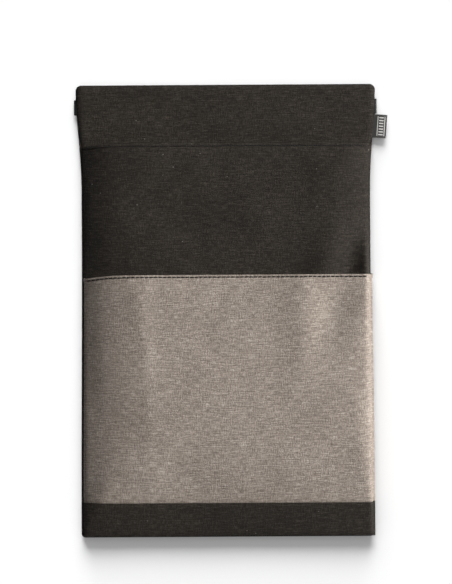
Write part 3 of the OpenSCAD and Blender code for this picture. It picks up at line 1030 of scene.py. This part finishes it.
def make_elastic():
    """Two halves of the band, each from the middle, round the flap's edge and into the seam."""
    low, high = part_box("elastic_band")
    turn_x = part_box("elastic_right_end")[1].x
    centre_y, half_width = (low.y + high.y) / 2, (high.y - low.y) / 2
    half_t = (high.z - low.z) / 2
    tail_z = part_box("elastic_right_end")[1].z - half_t
    base_z = low.z + half_t
    r = (tail_z - base_z) / 2
    half_turn = np.linspace(0, math.pi, 17)
    bend = [(turn_x - half_t - r + r * math.sin(a), base_z + r - r * math.cos(a)) for a in half_turn]
    run = [(x, base_z) for x in graded(0, bend[0][0], 3 * MM, 1 * MM)[:-1]]
    tail = [(bend[-1][0] - d, tail_z) for d in np.linspace(0.5, 4.0, 6) * MM]
    path = np.array(run + bend + tail)
    for name, sign, nodes in (("elastic_left", -1, ["elastic_left_end", "elastic_band"]),
                              ("elastic_right", 1, ["elastic_right_end"])):
        centres = np.stack([sign * path[:, 0], np.full(len(path), centre_y), path[:, 1]], axis=1)
        sideways = np.repeat([[0.0, float(sign), 0.0]], len(path), axis=0)
        one = np.ones(len(path))
        strip = swept(centres, sideways, half_width * one, half_t * one, 7.0, 40)
        half = swept_object(name, [strip], ELASTIC)
        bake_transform(half)
        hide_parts(*nodes)


# ---- Label ---------------------------------------------------------------------------------------------

def make_label():
    """A woven ribbon, folded in two with its ends caught in the flap's seam."""
    low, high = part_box("side_label")
    hinge = next(joint for joint in frame["joints"] if joint["name"] == "label_bend")
    tilt = math.atan2(hinge["axis"][0], hinge["axis"][1])
    root_y = hinge["pos_m"][1]
    root = np.array([half_w(root_y), root_y, (low.z + high.z) / 2])
    out = np.array([math.cos(tilt), -math.sin(tilt), 0])
    side = np.array([math.sin(tilt), math.cos(tilt), 0])
    ply_t = 0.34 * MM
    reach = 10.3 * MM
    tail = 4 * MM
    half_width = 9.1 * MM
    gap = (high.z - low.z - ply_t) / 2
    run = np.linspace(-tail, reach - gap, 40)
    puffed = gap * (0.55 + 0.45 * ramp((run - 4 * MM) / (5 * MM)))
    fold = [(reach - gap + 1.25 * gap * math.cos(a), gap * math.sin(a)) for a in np.linspace(-1.4, 1.4, 13)]
    under = [(u, -z) for u, z in zip(run, puffed)]
    over = [(u, z) for u, z in zip(run[::-1], puffed[::-1])]
    path = under + fold + over
    lift = [0.35 * MM * math.sin(math.pi * max(u, 0) / reach) for u, _ in path]
    centres = np.array([root + out * u + np.array([0, 0, z + rise]) for (u, z), rise in zip(path, lift)])
    sideways = np.repeat([-side], len(centres), axis=0)
    one = np.ones(len(centres))
    strip = swept(centres, sideways, half_width * one, ply_t / 2 * one, 9.0, 44)
    ribbon = swept_object("label", [strip], LABEL)
    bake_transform(ribbon)
    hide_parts("side_label", "label_tail_end")


# ---- Camera, lights and floor --------------------------------------------------------------------------

def make_stage():
    bpy.ops.mesh.primitive_plane_add(size=40, location=(0, 0, -0.0002))
    floor = bpy.context.object
    floor.name = "floor"
    s = Shader("floor")
    s.bsdf.inputs["Base Color"].default_value = (0.9, 0.9, 0.9, 1)
    s.bsdf.inputs["Roughness"].default_value = 0.9
    floor.data.materials.append(s.material)


def make_light(name, kind, towards, power, floor_lit, **settings):
    """A light that shines along a direction and lights either the floor or everything else, so that the
    sleeve has its own side light while the floor stays the plain white of a product shot."""
    data = bpy.data.lights.new(name, kind)
    data.energy = power
    for key, value in settings.items():
        setattr(data, key, value)
    light = bpy.data.objects.new(name, data)
    bpy.context.scene.collection.objects.link(light)
    light.location = -Vector(towards)
    light.rotation_mode = "QUATERNION"
    light.rotation_quaternion = Vector(towards).to_track_quat("-Z", "Y")
    lit = bpy.data.collections.new(name + "_receivers")
    lit.objects.link(bpy.data.objects["floor"])
    lit.collection_objects[0].light_linking.link_state = "INCLUDE" if floor_lit else "EXCLUDE"
    light.light_linking.receiver_collection = lit


def make_lights():
    make_light("key", "AREA", (-2.0, -0.6, -1.3), 140, floor_lit=False, size=0.7)
    make_light("floor_key", "SUN", (0.0, -1.0, -0.32), 7.5, floor_lit=True, angle=math.radians(42))
    make_light("floor_fill", "SUN", (0.0, 0.0, -1.0), 1.05, floor_lit=True, angle=math.radians(150))


def make_world(strength):
    world = bpy.data.worlds.new("studio")
    world.use_nodes = True
    world.node_tree.nodes["Background"].inputs["Color"].default_value = (1, 1, 1, 1)
    world.node_tree.nodes["Background"].inputs["Strength"].default_value = strength
    bpy.context.scene.world = world


def make_camera():
    height = 1.25
    edge_z = 5 * MM
    field_at_edge = 0.4555
    aim_x = -0.3 * MM
    aim_y = 14.7 * MM
    roll = -0.35
    data = bpy.data.cameras.new("camera")
    data.lens = data.sensor_width * (height - edge_z) / field_at_edge
    camera = bpy.data.objects.new("camera", data)
    bpy.context.scene.collection.objects.link(camera)
    camera.location = (aim_x, aim_y, height)
    camera.rotation_euler = (0, 0, math.radians(roll))
    bpy.context.scene.camera = camera


make_front_cloth()
make_pocket_cloth()
make_band_cloth()
make_back_cloth()
make_flap_facing()
make_linings()
make_foam()
make_bindings()
make_topstitching()
make_elastic()
make_label()
make_stage()
make_lights()
make_world(0.08)
make_camera()
bpy.context.scene.view_settings.view_transform = "Standard"
